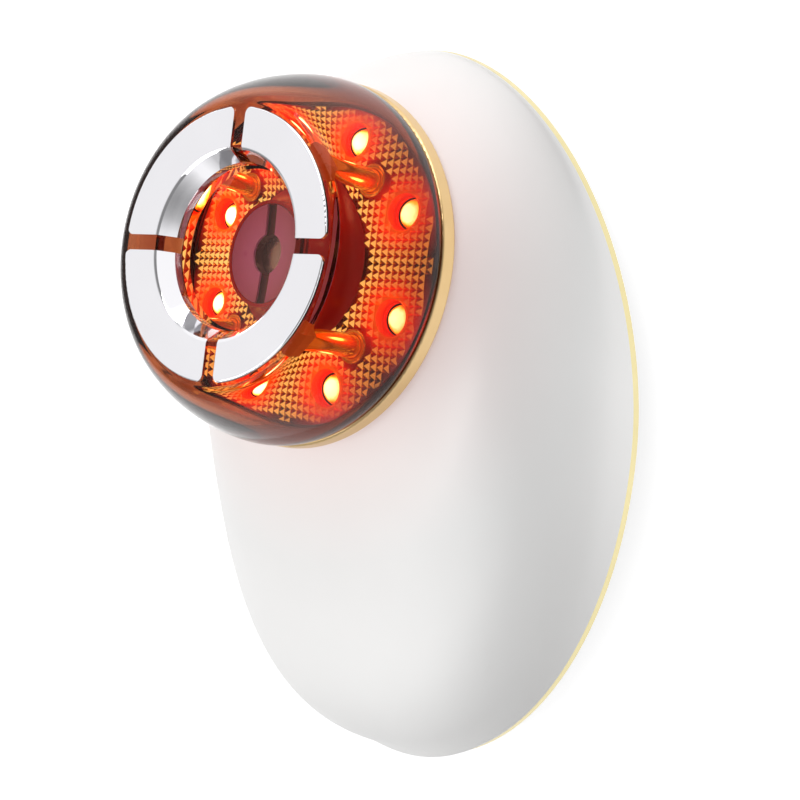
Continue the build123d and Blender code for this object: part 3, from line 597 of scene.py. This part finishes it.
def turned(outline, centre=(0.0, 0.0), segments=40):
    """Points and faces of an outline of (radius, height) points turned round a centre."""
    points, rows = [], []
    for radius, height in outline:
        spots = segments if radius > 0 else 1
        rows.append((len(points), spots))
        for step in range(spots):
            turn = 2 * math.pi * step / segments
            points.append((centre[0] + radius * math.cos(turn), centre[1] + radius * math.sin(turn), height))
    faces = []
    for (low, low_spots), (high, high_spots) in zip(rows, rows[1:]):
        for step in range(segments):
            following = (step + 1) % segments
            ends = [low + following % low_spots, low + step % low_spots]
            ends += [high + step % high_spots, high + following % high_spots]
            faces.append(tuple(dict.fromkeys(ends)))
    return points, faces


def rings(name, spots, outline, material, slot):
    """One turned outline round each spot, as one piece."""
    points, faces = [], []
    for spot in spots:
        ring_points, ring_faces = turned(outline, spot)
        faces += [tuple(corner + len(points) for corner in face) for face in ring_faces]
        points += ring_points
    return head_piece(name, points, faces, material, slot, smooth=True)


CUP_LIP_ROOT = 0.1
CUP_LIP_BEND = 0.1
CUP_LIP_OVERHANG = 0.02
CUP_LIP_HEIGHT = 0.17
CUP_LIP_CROWN = (0.04, 0.14)
CUP_LIP_WIDTH = 0.22

cup_lip = [
    (CUP_RADIUS, PLATE_TOP - CUP_LIP_ROOT),
    (CUP_RADIUS - CUP_LIP_OVERHANG, PLATE_TOP + CUP_LIP_BEND),
    (CUP_RADIUS + CUP_LIP_CROWN[0], PLATE_TOP + CUP_LIP_HEIGHT),
    (CUP_RADIUS + CUP_LIP_CROWN[1], PLATE_TOP + CUP_LIP_HEIGHT),
    (CUP_RADIUS + CUP_LIP_WIDTH, field_level),
]
rings("cup_lips", lamp_spots, cup_lip, plate_gold, "gold_reflector")

COLLAR_GAP = 0.1
COLLAR_SIDE = 0.5
COLLAR_HEIGHT = 0.62
COLLAR_CROWN_START = 0.18
COLLAR_CROWN_SET_BACK = 0.35
COLLAR_DRAFT = 0.1

collar = [
    (POST_RADIUS + COLLAR_GAP, PLATE_TOP + COLLAR_SIDE),
    (POST_RADIUS + COLLAR_CROWN_START, PLATE_TOP + COLLAR_HEIGHT),
    (collar_radius - COLLAR_CROWN_SET_BACK, PLATE_TOP + COLLAR_HEIGHT),
    (collar_radius - COLLAR_DRAFT, PLATE_TOP + COLLAR_SIDE),
    (collar_radius, field_level),
]
rings("post_collars", post_spots, collar, post_gold, "gold_post")

# ------------------------------------------------------------------ clear dome
LIP_SINK = 0.15
WINDOW_UNDER_DISH = 1.2
DOME_SEGMENTS = 224
SHOULDER_STEPS = 36
FOOT_STEPS = 8
WINDOW_STEPS = 22
SHARP_ANGLE = 28


def shoulder(widest, top):
    """The dome's side from its widest place up to the flat face."""
    base = PLATE_TOP + DOME_TUCK
    places = []
    for step in range(SHOULDER_STEPS + 1):
        turn = math.pi / 2 * step / SHOULDER_STEPS
        across = (widest - FACE_RADIUS) * math.cos(turn) ** (2 / DOME_ROUNDNESS)
        along = (top - base) * math.sin(turn) ** (2 / DOME_ROUNDNESS)
        places.append((FACE_RADIUS + across, base + along))
    return places


def foot(widest, narrow):
    """The dome's tuck from its widest place down to the gold ring, without its upper end."""
    turns = [math.pi / 2 * step / FOOT_STEPS for step in range(1, FOOT_STEPS + 1)]
    return [
        (widest - (widest - narrow) * (1 - math.cos(turn)), PLATE_TOP + DOME_TUCK * (1 - math.sin(turn)))
        for turn in turns
    ]


def window(dish, drop):
    """One side of the dished window from its middle to its edge, with its middle lowered by a drop."""
    ball = (WINDOW_RADIUS**2 + dish**2) / (2 * dish)
    middle = FACE_DISTANCE - WINDOW_EDGE_DEPTH - WINDOW_DISH - drop
    turns = [math.asin(WINDOW_RADIUS / ball) * step / WINDOW_STEPS for step in range(WINDOW_STEPS + 1)]
    return [(ball * math.sin(turn), middle + ball * (1 - math.cos(turn))) for turn in turns]


def dome_outline():
    """Outline of half the dome's section, from the middle of the window round to its underside."""
    face = FACE_DISTANCE - FACE_SET_BACK
    under = FACE_DISTANCE - FACE_THICKNESS
    tube = ELECTRODE_INNER + WELL_WALL / 2
    outline = window(WINDOW_DISH, 0)
    outline += [
        (WINDOW_RADIUS + LIP_SINK, FACE_DISTANCE - LIP_DEPTH),
        (ELECTRODE_INNER - LIP_FOOT_STEP + LIP_SINK, FACE_DISTANCE - LIP_SLOPE_DEPTH),
        (ELECTRODE_INNER + LIP_SINK, face),
    ]
    outline += reversed(shoulder(DOME_RADIUS, face))
    outline += foot(DOME_RADIUS, DOME_FOOT_RADIUS)
    outline += [(SPIGOT_OUTER, PLATE_TOP), (SPIGOT_OUTER, SPIGOT_END), (SPIGOT_INNER, SPIGOT_END)]
    outline += reversed(foot(DOME_RADIUS - DOME_WALL, SPIGOT_INNER))
    outline += shoulder(DOME_RADIUS - DOME_WALL, under)
    outline += [(tube, under)]
    outline += reversed(window(WINDOW_UNDER_DISH, WINDOW_THICKNESS))
    return outline


dome_mesh = turned(dome_outline(), segments=DOME_SEGMENTS)
dome = head_piece("clear_dome", *dome_mesh, amber, "smoky_amber", smooth=True)
dome.data.set_sharp_from_angle(angle=math.radians(SHARP_ANGLE))
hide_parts("dome_lens")

# ------------------------------------------------------------------ floor, in metres
FLOOR_REACH = 3
FLOOR_GAP = 0.0002
FLOOR_GLOW = 0.75

floor_mesh = bpy.data.meshes.new("floor")
floor_form = bmesh.new()
bmesh.ops.create_grid(floor_form, x_segments=2, y_segments=2, size=FLOOR_REACH)
floor_form.to_mesh(floor_mesh)
floor_form.free()
floor = bpy.data.objects.new("floor", floor_mesh)
floor.location = (0, 0, -FLOOR_GAP)
bpy.context.scene.collection.objects.link(floor)

floor_shader = Shader("pale_floor")
floor_shader.set(Base_Color=(0.5, 0.5, 0.5, 1), Roughness=0.6, Emission_Color=(1, 1, 1, 1))
floor_shader.feed("Emission Strength", floor_shader.math("MULTIPLY", floor_shader.seen(), FLOOR_GLOW))
floor_mesh.materials.append(floor_shader.material)

# ------------------------------------------------------------------ world
# A patch of light is a direction, the cosines from it at which it starts and is full, and its strength.
# The object gets light by height, as (sine of the height, strength), and from one patch low at its side.
SKY_STEPS = ((0.0, 0.24), (0.38, 0.36), (0.56, 0.90), (1.0, 1.0))
LOW_FILL = ((0.8, -0.6, 0.05), 0.6, 0.95, 0.06)

# Mirrors and clear parts show a white backdrop low down, a pale strip above it towards +X, patches of
# light, and a mid shade all over. The camera sees the same, and meets only the floor and the backdrop.
BACKDROP_FADE = (0.03, 0.14)
STRIP_STRENGTH = 0.76
STRIP_START = (-0.3, 0.0)
STRIP_FADE = (0.4, 0.5)
SOFTBOXES = (
    ((-0.66, 0.32, 0.65), 0.74, 0.9, 0.66),
    ((0.05, 0.98, 0.2), 0.86, 0.97, 0.7),
    ((0.66, 0.20, 0.70), 0.84, 0.95, 0.15),
    ((-0.62, 0.76, 0.12), 0.88, 0.97, 0.65),
    ((-0.50, -0.80, 0.28), 0.85, 0.96, 0.35),
)
STUDIO_SHADE = 0.24


class Sky(Nodes):
    """The world's light, by direction."""

    def direction(self):
        return self.add("ShaderNodeTexCoord").outputs["Generated"]

    def patch(self, direction, start, full, strength):
        """Soft round patch of light."""
        near = self.cosine(self.direction(), Vector(direction).normalized())
        return self.spread(near, 0.0, strength, start, full)

    def on_object(self):
        """Colour of the light that falls on the object."""
        height = self.parts(self.direction())[2]
        light = self.ramp(height, *((place, (strength,) * 3) for place, strength in SKY_STEPS))
        return self.total(light, self.patch(*LOW_FILL))

    def in_mirrors(self):
        """Brightness that mirrors, clear parts and the camera see."""
        across, _, height = self.parts(self.direction())
        backdrop = self.spread(height, 1.0, 0.0, *BACKDROP_FADE)
        beside = self.spread(across, 0.0, STRIP_STRENGTH, *STRIP_START)
        strip = self.math("MULTIPLY", beside, self.spread(height, 1.0, 0.0, *STRIP_FADE))
        light = self.math("MAXIMUM", backdrop, strip)
        for softbox in SOFTBOXES:
            light = self.math("ADD", self.patch(*softbox), light)
        return self.math("ADD", light, STUDIO_SHADE, clamp=True)


world = bpy.data.worlds.new("world")
bpy.context.scene.world = world
world.use_nodes = True
sky = Sky(world.node_tree)
background = world.node_tree.nodes["Background"]
sky.join(sky.blend(sky.seen(), sky.on_object(), sky.in_mirrors()), background.inputs["Color"])

# ------------------------------------------------------------------ studio lamps, in metres and watts
STUDIO_AIM = Vector((0, 0, 0.03))


def studio_lamp(name, place, width, power):
    data = bpy.data.lights.new(name, "AREA")
    data.size = width
    data.energy = power
    holder = bpy.data.objects.new(name, data)
    holder.location = place
    holder.rotation_euler = (STUDIO_AIM - Vector(place)).to_track_quat("-Z", "Y").to_euler()
    bpy.context.scene.collection.objects.link(holder)


studio_lamp("head_end", (0.0, 0.53, 0.31), width=0.34, power=1.4)
studio_lamp("far_side", (-0.26, -0.2, 0.62), width=0.3, power=0.78)

bpy.context.scene.view_settings.view_transform = "Standard"
